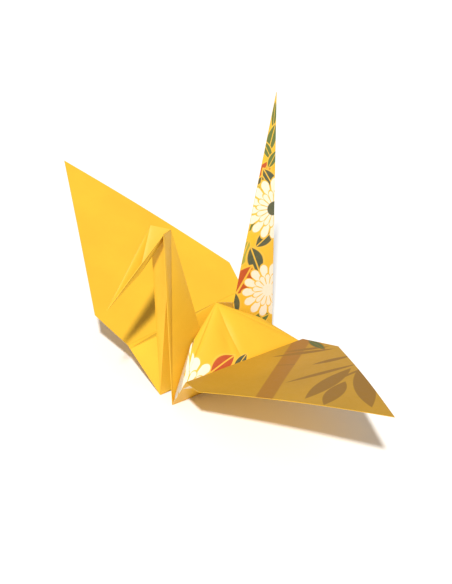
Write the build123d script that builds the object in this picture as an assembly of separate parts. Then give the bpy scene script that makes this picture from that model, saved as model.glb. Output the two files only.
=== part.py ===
from build123d import *
from math import atan2, cos, degrees, hypot, radians, sin, sqrt, tan
import os

# One square sheet, folded into a standing crane. Millimetres, +Z up.
# The origin is on the table, below the middle of the crane's overall box. The
# neck points to -Y, the tail to +Y, and the near wing to +X. Positions are
# first worked out from the point midway between the four feet.

# ---- the sheet ----
sheet_side = 150.0
paper = 0.12                      # one layer of paper
half_diagonal = sheet_side / sqrt(2)

# ---- where the creases lie on the folded plates, from a leg's tip upwards ----
leg_slope = tan(radians(90 / 8))                    # half width of a narrowed leg
wing_slope = tan(radians(45 / 2))                   # half width of a wing
foot_up = 0.502 * sheet_side                        # where neck and tail turn up
shoulder_up = half_diagonal / (1 + leg_slope)       # where the hump leaves the plate
wing_corner_up = sheet_side * wing_slope / (leg_slope + wing_slope)
flap_peak_up = 0.541 * sheet_side                   # top of the outer flaps' slope

# ---- how far the body is opened ----
feet_gap = 5.2                    # between the two plates at the table
hump_height = 22.6                # sheet centre above the table
spine_gap = 3.0                   # between the neck's and the tail's back folds
spine_lift = 4.0                  # their lower ends above the table
hump_swell = 1.2                  # how far the hump's sides stand out of flat
front_swell = 2.0                 # the same for the faces beside neck and tail

# ---- each side: lean of the plate, and where and how far the wing bends ----
near_side = dict(sign=1, lean=37.9, bend_front=0.623, bend_rear=0.598, wing_fold=36.2)
far_side = dict(sign=-1, lean=42.5, bend_front=0.597, bend_rear=0.615, wing_fold=28.9)
slit_drop = 1.1                   # the wing's lower layer hangs this far at its slit

# ---- neck, head and tail ----
neck_height = 54.4                # open edge at the head
neck_reach = 7.2                  # its forward lean
neck_sway = 8.0                   # its sideways lean, to the near wing
head_width = 4.8                  # neck width at the head fold
beak_droop = 41.0                 # below level
beak_sag = 1.3                    # how far the beak's lower fold bows
tail_lean = -0.7                  # degrees back from upright, of the tail's open edge
tail_sway = 4.1                   # sideways shift of the tail's tip

plate_layers = 4
arm_layers = 4
hump_layers = 1


def plate_point(side, across, up):
    """A point of one body plate: across is along Y, up is along the leaning plate."""
    lean = radians(side["lean"])
    rise = up - foot_up
    return Vector(side["sign"] * (feet_gap / 2 + rise * sin(lean)), across, rise * cos(lean))


def bend_ends(side):
    """Front and rear end of the line where the wing bends away from its plate."""
    front_up = side["bend_front"] * sheet_side
    rear_up = side["bend_rear"] * sheet_side
    front = plate_point(side, -leg_slope * front_up, front_up)
    rear = plate_point(side, leg_slope * rear_up, rear_up)
    return front, rear


def wing_point(side, across, up, drop=0.0):
    """A point of the wing, folded down about the bend line."""
    front, rear = bend_ends(side)
    start = plate_point(side, across, up)
    arm = (start - front).rotate(Axis((0, 0, 0), rear - front), side["sign"] * side["wing_fold"])
    return front + arm - Vector(0, 0, drop)


def panel(corners, layers=1, outward=0.0):
    """A flat piece of the fold. Its corners stand out by one layer so that it
    runs into its neighbour; outward moves it along its normal."""
    middle = sum(corners, Vector(0, 0, 0)) / len(corners)
    normal = (corners[1] - corners[0]).cross(corners[-1] - corners[0]).normalized()
    plane = Plane(origin=middle + normal * outward,
                  x_dir=(corners[1] - corners[0]).normalized(), z_dir=normal)
    flat = [plane.to_local_coords(corner) for corner in corners]
    grown = [point + point.normalized() * paper for point in flat]
    outline = make_face(Polyline([(p.X, p.Y) for p in grown], close=True))
    thickness = layers * paper
    return extrude(plane * outline, amount=thickness / 2, dir=normal, both=True)


def fan(corners, centre, layers=1):
    """Triangles from a raised or sunk centre point to each side of an outline."""
    pairs = zip(corners, corners[1:] + corners[:1])
    return [panel([first, second, centre], layers) for first, second in pairs]


def swollen(corners, out_dir, swell):
    """The middle of an outline, pushed out of flat."""
    middle = sum(corners, Vector(0, 0, 0)) / len(corners)
    return middle + out_dir.normalized() * swell


sheet_centre = Vector(0, 0, hump_height)
neck_root = Vector(0, -spine_gap / 2, spine_lift)
tail_root = Vector(0, spine_gap / 2, spine_lift)


def foot(side, end):
    return plate_point(side, end * leg_slope * foot_up, foot_up)


def shoulder(side, end):
    return plate_point(side, end * leg_slope * shoulder_up, shoulder_up)


def plate(side):
    """The body plate between the feet and the bend, with its two outer flaps."""
    front, rear = bend_ends(side)
    pieces = [panel([foot(side, -1), foot(side, 1), rear, front], plate_layers)]
    peak = plate_point(side, 0, flap_peak_up)
    low = plate_point(side, 0, foot_up)
    outer = -side["sign"] * (plate_layers + 1) * paper / 2
    for end in (-1, 1):
        corners = [low, foot(side, end), shoulder(side, end), peak]
        pieces.append(panel(corners, 2, outer * end))
    return pieces


def wing(side):
    """A wing: one full upper layer, and two lower halves that meet at a slit."""
    front, rear = bend_ends(side)
    corners = [wing_point(side, end * leg_slope * wing_corner_up, wing_corner_up) for end in (-1, 1)]
    tip = wing_point(side, 0, sheet_side)
    pieces = [panel([front, corners[0], tip, corners[1], rear])]
    middle_up = (side["bend_front"] + side["bend_rear"]) / 2 * sheet_side
    slit_foot = wing_point(side, 0, middle_up, slit_drop)
    pieces.append(panel([front, corners[0], slit_foot]))
    pieces.append(panel([rear, corners[1], slit_foot]))
    for corner in corners:
        pieces.append(panel([corner, tip, slit_foot]))
    return pieces


def hump_side(side):
    """The hump's face towards a wing, swollen along its middle crease."""
    front, rear = shoulder(side, -1), shoulder(side, 1)
    out = Vector(side["sign"], 0, 1)
    middle = swollen([front, rear], out, hump_swell)
    root = plate_point(side, 0, foot_up)
    pieces = [panel([sheet_centre, front, middle]), panel([sheet_centre, rear, middle])]
    pieces += [panel([front, middle, root]), panel([rear, middle, root])]
    return pieces


def hump_end(side, end):
    """The faces between the hump's ridge and the back fold of neck or tail."""
    root = neck_root if end < 0 else tail_root
    ridge_middle = (sheet_centre + shoulder(side, end)) / 2
    bulge = ridge_middle + Vector(-side["sign"], 1.4 * end, 0).normalized() * front_swell
    corners = [sheet_centre, shoulder(side, end), foot(side, end), root]
    return fan(corners, bulge)


def neck_top(side):
    """The open edge of the neck at the head fold."""
    start = foot(side, -1)
    return start + Vector(neck_sway, -neck_reach, neck_height)


def spine_top():
    """The back fold of the neck at the head fold."""
    middle = (neck_top(near_side) + neck_top(far_side)) / 2
    inward = sqrt(head_width ** 2 - (feet_gap / 2) ** 2)
    return middle + Vector(0, inward * 0.95, -inward * 0.3)


def beak_tip():
    """The leg's tip: the beak takes what the neck leaves of the leg's length."""
    top = (neck_top(near_side) + neck_top(far_side)) / 2
    leg_length = foot_up * hypot(1, leg_slope)
    beak_length = leg_length - (neck_top(near_side) - foot(near_side, -1)).length
    droop = radians(beak_droop)
    return top + Vector(3.2, -beak_length * cos(droop), -beak_length * sin(droop))


def neck():
    """Two arms that share the back fold and are open in front."""
    pieces = []
    for side in (near_side, far_side):
        pieces.append(panel([foot(side, -1), neck_top(side), spine_top()], arm_layers))
        pieces.append(panel([foot(side, -1), spine_top(), neck_root], arm_layers))
    return pieces


def beak():
    """The leg's end, turned inside out: its fold is below and it is open above."""
    tip = beak_tip()
    sag = (spine_top() + tip) / 2 - Vector(0, 0, beak_sag)
    pieces = []
    for side in (near_side, far_side):
        pieces.append(panel([neck_top(side), spine_top(), sag], arm_layers))
        pieces.append(panel([neck_top(side), sag, tip], arm_layers))
    return pieces


def tail_tip():
    """The other leg's tip, at the leg's full length above the rear feet."""
    leg_length = foot_up * hypot(1, leg_slope)
    middle = (foot(near_side, 1) + foot(far_side, 1)) / 2
    lean = radians(tail_lean)
    height = sqrt(leg_length ** 2 - tail_sway ** 2) * cos(lean)
    return middle + Vector(tail_sway, leg_length * sin(lean), height)


def tail():
    """Two arms from the rear feet that share the tail's front fold."""
    return [panel([foot(side, 1), tail_tip(), tail_root], arm_layers)
            for side in (near_side, far_side)]


def folded_sheet():
    pieces = neck() + beak() + tail()
    for side in (near_side, far_side):
        pieces += plate(side) + wing(side) + hump_side(side)
        for end in (-1, 1):
            pieces += hump_end(side, end)
    whole = pieces[0].fuse(*pieces[1:])
    box = whole.bounding_box()
    middle = box.center()
    return whole.moved(Location((-middle.X, -middle.Y, -box.min.Z)))


if __name__ == "__main__":
    os.makedirs("parts", exist_ok=True)
    sheet = folded_sheet()
    solids = sheet.solids()
    print("solids", len(solids), "volume", sheet.volume, "size", sheet.bounding_box().size)
    print("centre of mass", sheet.center(CenterOf.MASS))
    print("box", sheet.bounding_box())
    export_step(solids[0] if len(solids) == 1 else sheet, "parts/folded_sheet.step")
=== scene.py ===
from math import cos, hypot, pi, radians, sin, sqrt, tan

import bpy
from mathutils import Matrix, Vector


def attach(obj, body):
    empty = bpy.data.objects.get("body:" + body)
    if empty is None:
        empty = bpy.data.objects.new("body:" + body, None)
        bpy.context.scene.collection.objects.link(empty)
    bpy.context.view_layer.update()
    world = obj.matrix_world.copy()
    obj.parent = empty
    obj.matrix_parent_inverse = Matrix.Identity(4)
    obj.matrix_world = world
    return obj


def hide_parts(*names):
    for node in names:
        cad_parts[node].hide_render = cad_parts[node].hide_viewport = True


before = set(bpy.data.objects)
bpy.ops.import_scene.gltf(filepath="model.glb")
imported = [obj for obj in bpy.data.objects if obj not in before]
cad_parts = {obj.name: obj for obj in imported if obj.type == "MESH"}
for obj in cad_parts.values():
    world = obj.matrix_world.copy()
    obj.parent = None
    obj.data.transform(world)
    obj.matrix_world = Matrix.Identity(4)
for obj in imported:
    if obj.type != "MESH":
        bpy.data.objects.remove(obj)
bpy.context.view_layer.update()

# ---- the folded sheet, in millimetres from the point between the feet ----
SHEET = 150.0
PAPER = 0.16
LEG = tan(radians(90 / 8))
WING = tan(radians(45 / 2))
FOOT_UP = 0.502 * SHEET
SHOULDER_UP = SHEET / sqrt(2) / (1 + LEG)
CORNER_UP = SHEET * WING / (LEG + WING)
FEET_GAP = 5.2
HUMP_TOP = Vector((0, 0, 22.6))
CENTRE_UP = 106.0               # the sheet's centre, laid flat
SLIT_DROP = 1.1                 # how far the wing's lower layer hangs at its slit
NEAR = dict(sign=1, lean=37.9, front=0.623, rear=0.598, fold=36.2, arch=0.7)
FAR = dict(sign=-1, lean=42.5, front=0.597, rear=0.615, fold=28.9, arch=0.5)
NECK_ROOT = Vector((0, -1.5, 4.0))
TAIL_ROOT = Vector((0, 1.5, 4.0))
LEG_LENGTH = FOOT_UP * hypot(1, LEG)


def plate_point(side, across, up):
    """A point of one leaning body plate."""
    lean = radians(side["lean"])
    rise = up - FOOT_UP
    return Vector((side["sign"] * (FEET_GAP / 2 + rise * sin(lean)), across, rise * cos(lean)))


def bend_ends(side):
    """The two ends of the line where the wing bends from its plate."""
    front_up = side["front"] * SHEET
    rear_up = side["rear"] * SHEET
    return (plate_point(side, -LEG * front_up, front_up), plate_point(side, LEG * rear_up, rear_up))


def wing_point(side, across, up):
    """A point of the wing, folded down about the bend line."""
    front, rear = bend_ends(side)
    turn = Matrix.Rotation(radians(side["sign"] * side["fold"]), 3, rear - front)
    return front + turn @ (plate_point(side, across, up) - front)


def foot(side, end):
    return plate_point(side, end * LEG * FOOT_UP, FOOT_UP)


def shoulder(side, end):
    return plate_point(side, end * LEG * SHOULDER_UP, SHOULDER_UP)


class Sheet:
    """Collects thin paper patches that become one mesh."""

    def __init__(self):
        self.points = []
        self.faces = []
        self.flat = []
        self.slots = []

    def patch(self, corners, flat, slot=0, swell=0.0, steps=14, bow=None):
        """A triangle of paper with real thickness, swollen or bowed out of flat."""
        a, b, c = corners
        normal = (b - a).cross(c - a).normalized()
        start = len(self.points)
        index = {}
        for layer in (1, -1):
            for i in range(steps + 1):
                for j in range(steps + 1 - i):
                    u = i / steps
                    v = j / steps
                    w = 1 - u - v
                    lift = swell * 6.0 * sqrt(max(u * v * w, 0.0)) * 0.55
                    index[layer, i, j] = len(self.points)
                    spot = tuple(flat[0][k] * w + flat[1][k] * u + flat[2][k] * v for k in (0, 1))
                    point = a * w + b * u + c * v + normal * (lift + layer * PAPER / 2)
                    if bow:
                        point.z += bow(spot)
                    self.points.append(point)
                    self.flat.append(spot)
        for layer in (1, -1):
            for i in range(steps):
                for j in range(steps - i):
                    self.face([index[layer, i, j], index[layer, i + 1, j], index[layer, i, j + 1]], layer, slot)
                    if i + j < steps - 1:
                        self.face([index[layer, i + 1, j], index[layer, i + 1, j + 1],
                                   index[layer, i, j + 1]], layer, slot)
        rim = [(i, 0) for i in range(steps)] + [(steps - j, j) for j in range(steps)]
        rim += [(0, steps - i) for i in range(steps)]
        edge = len(self.points)
        for spot in rim:
            for layer in (-1, 1):
                self.points.append(self.points[index[(layer,) + spot]].copy())
                self.flat.append(self.flat[index[(layer,) + spot]])
        for k in range(len(rim)):
            here, after = edge + 2 * k, edge + 2 * ((k + 1) % len(rim))
            self.face([here, after, after + 1, here + 1], 1, slot)

    def face(self, corners, layer, slot):
        self.faces.append(corners if layer > 0 else corners[::-1])
        self.slots.append(slot)

    def build(self, name, materials):
        """One mesh, standing on the table with its box centred, in metres."""
        low = [min(p[k] for p in self.points) for k in range(3)]
        high = [max(p[k] for p in self.points) for k in range(3)]
        shift = Vector(((low[0] + high[0]) / 2, (low[1] + high[1]) / 2, low[2]))
        mesh = bpy.data.meshes.new(name)
        mesh.from_pydata([(p - shift) * 0.001 for p in self.points], [], self.faces)
        for material in materials:
            mesh.materials.append(material)
        layer = mesh.uv_layers.new(name="print")
        for loop in mesh.loops:
            layer.data[loop.index].uv = self.flat[loop.vertex_index]
        for polygon, slot in zip(mesh.polygons, self.slots):
            polygon.material_index = slot
            polygon.use_smooth = len(polygon.vertices) == 3
        piece = bpy.data.objects.new(name, mesh)
        bpy.context.scene.collection.objects.link(piece)
        return piece, shift


# ---- shader maths ----
class Value:
    """A shader socket that can be used in plain arithmetic."""

    def __init__(self, tree, socket):
        self.tree = tree
        self.socket = socket

    def node(self, kind, settings=None, out=0, **sockets):
        made = self.tree.nodes.new(kind)
        for key, setting in (settings or {}).items():
            setattr(made, key, setting)
        for key, source in sockets.items():
            slot = made.inputs[int(key[1:])] if key[1:].isdigit() else made.inputs[key.replace("_", " ")]
            if isinstance(source, Value):
                self.tree.links.new(source.socket, slot)
            else:
                slot.default_value = source
        return Value(self.tree, made.outputs[out])

    def maths(self, operation, *others):
        values = dict(zip(("i0", "i1", "i2"), (self,) + others))
        return self.node("ShaderNodeMath", {"operation": operation}, **values)

    def __add__(self, other):
        return self.maths("ADD", other)

    def __radd__(self, other):
        return self.maths("ADD", other)

    def __sub__(self, other):
        return self.maths("SUBTRACT", other)

    def __rsub__(self, other):
        return self.maths("MULTIPLY", -1.0).maths("ADD", other)

    def __mul__(self, other):
        return self.maths("MULTIPLY", other)

    def __rmul__(self, other):
        return self.maths("MULTIPLY", other)

    def __truediv__(self, other):
        return self.maths("DIVIDE", other)

    def below(self, limit, soft=0.12):
        """1 where the value is under the limit, with a soft printed edge."""
        settings = {"interpolation_type": "SMOOTHSTEP", "clamp": True}
        return self.node("ShaderNodeMapRange", settings, i0=self, i1=limit - soft, i2=limit + soft,
                         i3=1.0, i4=0.0)

    def over(self, ground, colour):
        """This mask lays a colour over the ground."""
        return self.node("ShaderNodeMix", {"data_type": "RGBA"}, out=2, i0=self, i6=ground, i7=colour)


GOLD_LINE = (0.78, 0.45, 0.05, 1)
PETAL_WHITE = (0.80, 0.74, 0.60, 1)
LEAF_GREEN = (0.06, 0.13, 0.04, 1)
DEEP_GREEN = (0.02, 0.06, 0.05, 1)
LIME = (0.30, 0.30, 0.05, 1)
RED = (0.42, 0.045, 0.02, 1)
STEM_BROWN = (0.40, 0.17, 0.022, 1)
LEAF_OCHRE = (0.30, 0.145, 0.018, 1)


def leaf(across, up, ground, middle, length, width, turn, colour, line=GOLD_LINE):
    """A pointed leaf with a printed outline and a midrib."""
    lengthways = cos(radians(turn))
    crossways = sin(radians(turn))
    x = across - middle[0]
    y = up - middle[1]
    along = (x * lengthways + y * crossways) / (length / 2)
    side = (y * lengthways - x * crossways) / (width / 2)
    spread = along * along + side.maths("ABSOLUTE")
    inked = spread.below(1.0, 0.06).over(ground, line)
    inked = spread.below(0.78, 0.06).over(inked, colour)
    rib = side.maths("ABSOLUTE").below(0.07, 0.04) * spread.below(0.8)
    return rib.over(inked, line)


def flower(across, up, ground, middle, radius, petals, heart=DEEP_GREEN):
    """A chrysanthemum: rows of outlined petals about a dark heart."""
    x = across - middle[0]
    y = up - middle[1]
    away = (x * x + y * y).maths("SQRT")
    angle = y.maths("ARCTAN2", x)
    for row, share in enumerate((1.0, 0.62)):
        wave = (angle * (petals / 2) + row * 1.2).maths("COSINE").maths("ABSOLUTE")
        reach = away / (wave.maths("SQRT") * 0.35 + 0.65)
        ground = reach.below(radius * share, 0.15).over(ground, GOLD_LINE)
        inside = reach.below(radius * share - 0.45, 0.15) * (0.34 - wave).below(0.0, 0.08)
        ground = inside.over(ground, PETAL_WHITE)
    return away.below(radius * 0.22).over(ground, heart)


def paper(name, colour, art=None):
    """Printed paper: gold ink on a fibrous sheet, with the print laid over it."""
    material = bpy.data.materials.new(name)
    material.use_nodes = True
    tree = material.node_tree
    shader = tree.nodes["Principled BSDF"]
    start = Value(tree, None)
    uv = start.node("ShaderNodeUVMap", {"uv_map": "print"})
    split = start.node("ShaderNodeSeparateXYZ", i0=uv)
    across = split
    up = Value(tree, split.socket.node.outputs[1])
    place = start.node("ShaderNodeTexCoord", out=3)
    fibres = start.node("ShaderNodeTexNoise", Vector=place, Scale=900.0, Detail=6.0, Roughness=0.7)
    cloud = start.node("ShaderNodeTexNoise", Vector=place, Scale=60.0, Detail=3.0)
    flecks = start.node("ShaderNodeTexVoronoi", Vector=place, Scale=420.0)
    darker = tuple(c * 0.80 for c in colour[:3]) + (1,)
    ground = (cloud * 1.6 - 0.3).over(colour, darker)
    ground = (flecks.below(0.07, 0.03) * 0.45).over(ground, darker)
    if art:
        ground = art(across, up, ground)
    ground = (fibres * 0.22).over(ground, darker)
    tree.links.new(ground.socket, shader.inputs["Base Color"])
    tree.links.new((fibres * 0.2 + 0.42).socket, shader.inputs["Roughness"])
    bump = start.node("ShaderNodeBump", Strength=0.12, Distance=0.0002, Height=fibres)
    tree.links.new(bump.socket, shader.inputs["Normal"])
    shader.inputs["Specular IOR Level"].default_value = 0.25
    return material


def wing_print(across, up, ground):
    """Bamboo: a jointed stem crossing the wing, with thin and broad leaves."""
    stem = (across - 16.6 + (up - 91.0) * 1.09).maths("ABSOLUTE") / 1.48
    ground = stem.below(2.2, 0.25).over(ground, STEM_BROWN)
    joint = (across - up * 0.9 + 88.0).maths("ABSOLUTE").below(0.35) * stem.below(2.2)
    ground = joint.over(ground, LEAF_OCHRE)
    for middle, length, width, turn in (((14, 97), 11, 1.6, 210), ((12, 98.5), 15, 1.8, 209),
                                        ((12.8, 109), 10, 2.0, 194), ((5.6, 115), 19, 1.8, 189),
                                        ((2.3, 122), 21, 4.6, 156), ((-0.6, 128.5), 15, 4.4, 145),
                                        ((5.9, 131), 25, 4.6, 119), ((9.0, 121), 14, 1.0, 170)):
        ground = leaf(across, up, ground, middle, length, width, turn, LEAF_OCHRE, LEAF_OCHRE)
    return leaf(across, up, ground, (17.5, 96.0), 10, 2.4, 100, LEAF_GREEN, LEAF_OCHRE)


def tail_print(across, up, ground):
    """Flowers and leaves down the tail; up runs down from the tip."""
    for middle, length, width, turn, colour in (
            ((0.6, 6), 9, 1.6, 85, LEAF_GREEN), ((1.2, 12), 9, 3.2, 75, LEAF_GREEN),
            ((2.4, 15), 7, 2.6, 115, LEAF_GREEN), ((3.2, 20.5), 7, 4.0, 60, RED),
            ((1.6, 23), 8, 4.2, 120, DEEP_GREEN), ((4.2, 24.5), 6, 3.4, 80, DEEP_GREEN),
            ((8.6, 43), 9, 3.6, 70, LIME), ((5.4, 45), 9, 5.6, 110, DEEP_GREEN),
            ((8.6, 50.5), 10, 7.0, 60, RED), ((2.6, 39), 8, 4.6, 40, DEEP_GREEN),
            ((3.5, 62), 6, 4.0, 20, LEAF_GREEN), ((0.8, 17.5), 6, 2.8, 60, LEAF_GREEN),
            ((6.6, 34), 7, 3.4, 75, LEAF_GREEN), ((11.5, 57), 9, 4.4, 95, DEEP_GREEN),
            ((5.4, 27), 7, 2.6, 70, LIME)):
        ground = leaf(across, up, ground, middle, length, width, turn, colour)
    ground = flower(across, up, ground, (1.5, 54.0), 8.0, 14, PETAL_WHITE)
    return flower(across, up, ground, (0.2, 31.0), 8.8, 16)


def foot_print(across, up, ground):
    """The flower beside the near foot and the leaves above it."""
    ground = leaf(across, up, ground, (-13.0, 96.5), 8, 2.6, 70, DEEP_GREEN)
    ground = leaf(across, up, ground, (-5.5, 90.5), 9, 5.0, 15, RED)
    ground = leaf(across, up, ground, (-1.0, 89.0), 7, 3.0, 30, DEEP_GREEN)
    return flower(across, up, ground, (-17.2, 88.0), 9.5, 16, PETAL_WHITE)


GOLD = (0.84, 0.47, 0.030, 1)
OCHRE = (0.60, 0.32, 0.025, 1)
materials = [paper("gold_paper", GOLD), paper("bamboo_paper", OCHRE, wing_print),
             paper("flower_paper", GOLD, tail_print), paper("foot_flower_paper", GOLD, foot_print)]
PLAIN, BAMBOO, FLOWERS, FOOT_FLOWER = range(4)


def flat_of(side, end, up):
    return (end * LEG * up, up)


def add_wing(sheet, side):
    front, rear = bend_ends(side)
    slot = BAMBOO if side is NEAR else PLAIN
    up = {-1: side["front"] * SHEET, 1: side["rear"] * SHEET}
    tip = wing_point(side, 0, SHEET)
    tip_flat = (0, SHEET)
    corner = {end: wing_point(side, end * LEG * CORNER_UP, CORNER_UP) for end in (-1, 1)}
    middle = (front + rear) / 2
    bend = {-1: front, 1: rear}
    slit = middle - Vector((0, 0, SLIT_DROP))
    start = sum(up.values()) / 2

    def bow(spot):
        return side["arch"] * sin(pi * max(0.0, (spot[1] - CORNER_UP) / (SHEET - CORNER_UP)))

    for end in (-1, 1):
        flat = [flat_of(side, end, up[end]), flat_of(side, end, CORNER_UP), (0, start)]
        sheet.patch([bend[end], corner[end], middle], flat, slot)
        broad_flat = [flat[2], flat[1], tip_flat]
        sheet.patch([middle, corner[end], tip], broad_flat, slot, 0.0, 24, bow)
        sheet.patch([bend[end], corner[end], slit], flat, PLAIN)
        sheet.patch([slit, corner[end], tip], broad_flat, PLAIN, 0.0, 24, bow)


def add_body(sheet, side):
    front, rear = bend_ends(side)
    feet = {end: foot(side, end) for end in (-1, 1)}
    sheet.patch([feet[-1], feet[1], rear], [(0, 0), (30, 0), (30, 15)])
    sheet.patch([feet[-1], rear, front], [(0, 0), (30, 15), (0, 15)])
    ridge = {end: shoulder(side, end) for end in (-1, 1)}
    out = Vector((side["sign"], 0, 1)).normalized()
    middle = (ridge[-1] + ridge[1]) / 2 + out * 1.2
    slot = FOOT_FLOWER if side is NEAR else PLAIN
    face = side["sign"]

    def pinch(spot):
        """A shallow buckle beside the hump's middle crease."""
        down = (CENTRE_UP - spot[1]) / (CENTRE_UP - SHOULDER_UP)
        off = (spot[0] + 2.5 * down) / 1.6
        return -0.9 * sin(pi * min(1.0, max(0.0, down))) ** 2 / (1 + off * off)

    for end in (-1, 1):
        flat = [(0, CENTRE_UP), (end * LEG * SHOULDER_UP, SHOULDER_UP), (0, SHOULDER_UP)]
        bulge = 1.2 if end < 0 else 0.7
        sheet.patch([HUMP_TOP, ridge[end], middle], flat, slot, -bulge * face * end, 24, pinch)
        sheet.patch([ridge[end], middle, plate_point(side, 0, FOOT_UP)], [flat[1], flat[2], (0, 75)], slot)
        root = NECK_ROOT if end < 0 else TAIL_ROOT
        sideways = Vector((-side["sign"], 1.4 * end, 0)).normalized() * 2.0
        swollen = (HUMP_TOP + ridge[end]) / 2 + sideways
        outline = [HUMP_TOP, ridge[end], feet[end], root]
        laid = [flat[0], flat[1], (end * 19.0, 80.0), (end * 24.0, 92.0)]
        for k in range(4):
            after = (k + 1) % 4
            sheet.patch([outline[k], outline[after], swollen], [laid[k], laid[after], (end * 14.0, 94.0)],
                        slot if end < 0 else PLAIN, 0.25 * face * end)


def add_neck(sheet):
    tops = {side["sign"]: foot(side, -1) + Vector((8.0, -7.2, 54.4)) for side in (NEAR, FAR)}
    top = (tops[1] + tops[-1]) / 2
    inward = sqrt(4.8 ** 2 - (FEET_GAP / 2) ** 2)
    spine = top + Vector((0, inward * 0.95, -inward * 0.3))
    beak_length = LEG_LENGTH - (tops[1] - foot(NEAR, -1)).length
    droop = radians(41.0)
    tip = top + Vector((3.2, -beak_length * cos(droop), -beak_length * sin(droop)))
    sag = (spine + tip) / 2 - Vector((0, 0, 1.3))
    plain = [(0, 0), (1, 0), (0, 1)]
    for side in (NEAR, FAR):
        face = side["sign"]
        sheet.patch([foot(side, -1), tops[face], spine], plain, PLAIN, -0.35 * face)
        sheet.patch([foot(side, -1), spine, NECK_ROOT], plain, PLAIN, -0.35 * face)
        sheet.patch([tops[face], spine, sag], plain, PLAIN, 0.2 * face)
        sheet.patch([tops[face], sag, tip], plain, PLAIN, 0.2 * face)


def add_tail(sheet):
    height = sqrt(LEG_LENGTH ** 2 - 4.1 ** 2)
    base = (foot(NEAR, 1) + foot(FAR, 1)) / 2
    tip = base + Vector((4.1, LEG_LENGTH * sin(radians(-0.7)), height * cos(radians(0.7))))
    flat = [(0, LEG_LENGTH), (0, 0), (15, LEG_LENGTH - 2)]
    for side, slot in ((NEAR, FLOWERS), (FAR, PLAIN)):
        sheet.patch([foot(side, 1), tip, TAIL_ROOT], flat, slot, 0.4 * side["sign"], 24)


crane = Sheet()
for wing_side in (NEAR, FAR):
    add_wing(crane, wing_side)
    add_body(crane, wing_side)
add_neck(crane)
add_tail(crane)
crane_piece, shift = crane.build("crane", materials)
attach(crane_piece, "root")
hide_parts("folded_sheet")

# ---- camera, table and light ----
AZIMUTH, ELEVATION, DISTANCE = radians(54.52), radians(34.56), 0.533
back = Vector((sin(AZIMUTH) * cos(ELEVATION), -cos(AZIMUTH) * cos(ELEVATION), sin(ELEVATION)))
right = Vector((cos(AZIMUTH), sin(AZIMUTH), 0))
above = back.cross(right)
camera_data = bpy.data.cameras.new("camera")
camera = bpy.data.objects.new("camera", camera_data)
bpy.context.scene.collection.objects.link(camera)
camera.matrix_world = Matrix((right, above, back)).transposed().to_4x4()
camera.location = back * DISTANCE - shift * 0.001
camera_data.lens = 132.8
camera_data.shift_x = 9.75 / 584
camera_data.shift_y = 87.67 / 584
camera_data.clip_start = 0.01
bpy.context.scene.camera = camera

floor_mesh = bpy.data.meshes.new("table")
floor_mesh.from_pydata([(-2, -2, 0), (2, -2, 0), (2, 2, 0), (-2, 2, 0)], [], [(0, 1, 2, 3)])
floor = bpy.data.objects.new("table", floor_mesh)
bpy.context.scene.collection.objects.link(floor)
white = bpy.data.materials.new("white_table")
white.use_nodes = True
white.node_tree.nodes["Principled BSDF"].inputs["Base Color"].default_value = (0.93, 0.92, 0.90, 1)
white.node_tree.nodes["Principled BSDF"].inputs["Roughness"].default_value = 0.8
floor_mesh.materials.append(white)


def lamp(name, position, power, size):
    data = bpy.data.lights.new(name, "AREA")
    data.energy = power
    data.size = size
    made = bpy.data.objects.new(name, data)
    made.location = position
    made.rotation_euler = (-Vector(position)).to_track_quat("-Z", "Y").to_euler()
    bpy.context.scene.collection.objects.link(made)


lamp("window", (right * -0.02 + above * 0.20 + back * 0.98) * 5.0, 305.0, 0.20)
world = bpy.data.worlds.new("room")
world.use_nodes = True
room = world.node_tree
fill = room.nodes["Background"]
fill.inputs["Color"].default_value = (1, 0.99, 0.97, 1)
fill.inputs["Strength"].default_value = 0.40
backdrop = room.nodes.new("ShaderNodeBackground")
backdrop.inputs["Color"].default_value = (1, 1, 1, 1)
seen = room.nodes.new("ShaderNodeLightPath")
choose = room.nodes.new("ShaderNodeMixShader")
room.links.new(seen.outputs["Is Camera Ray"], choose.inputs[0])
room.links.new(fill.outputs[0], choose.inputs[1])
room.links.new(backdrop.outputs[0], choose.inputs[2])
room.links.new(choose.outputs[0], room.nodes["World Output"].inputs["Surface"])
bpy.context.scene.world = world
bpy.context.scene.view_settings.view_transform = "Standard"
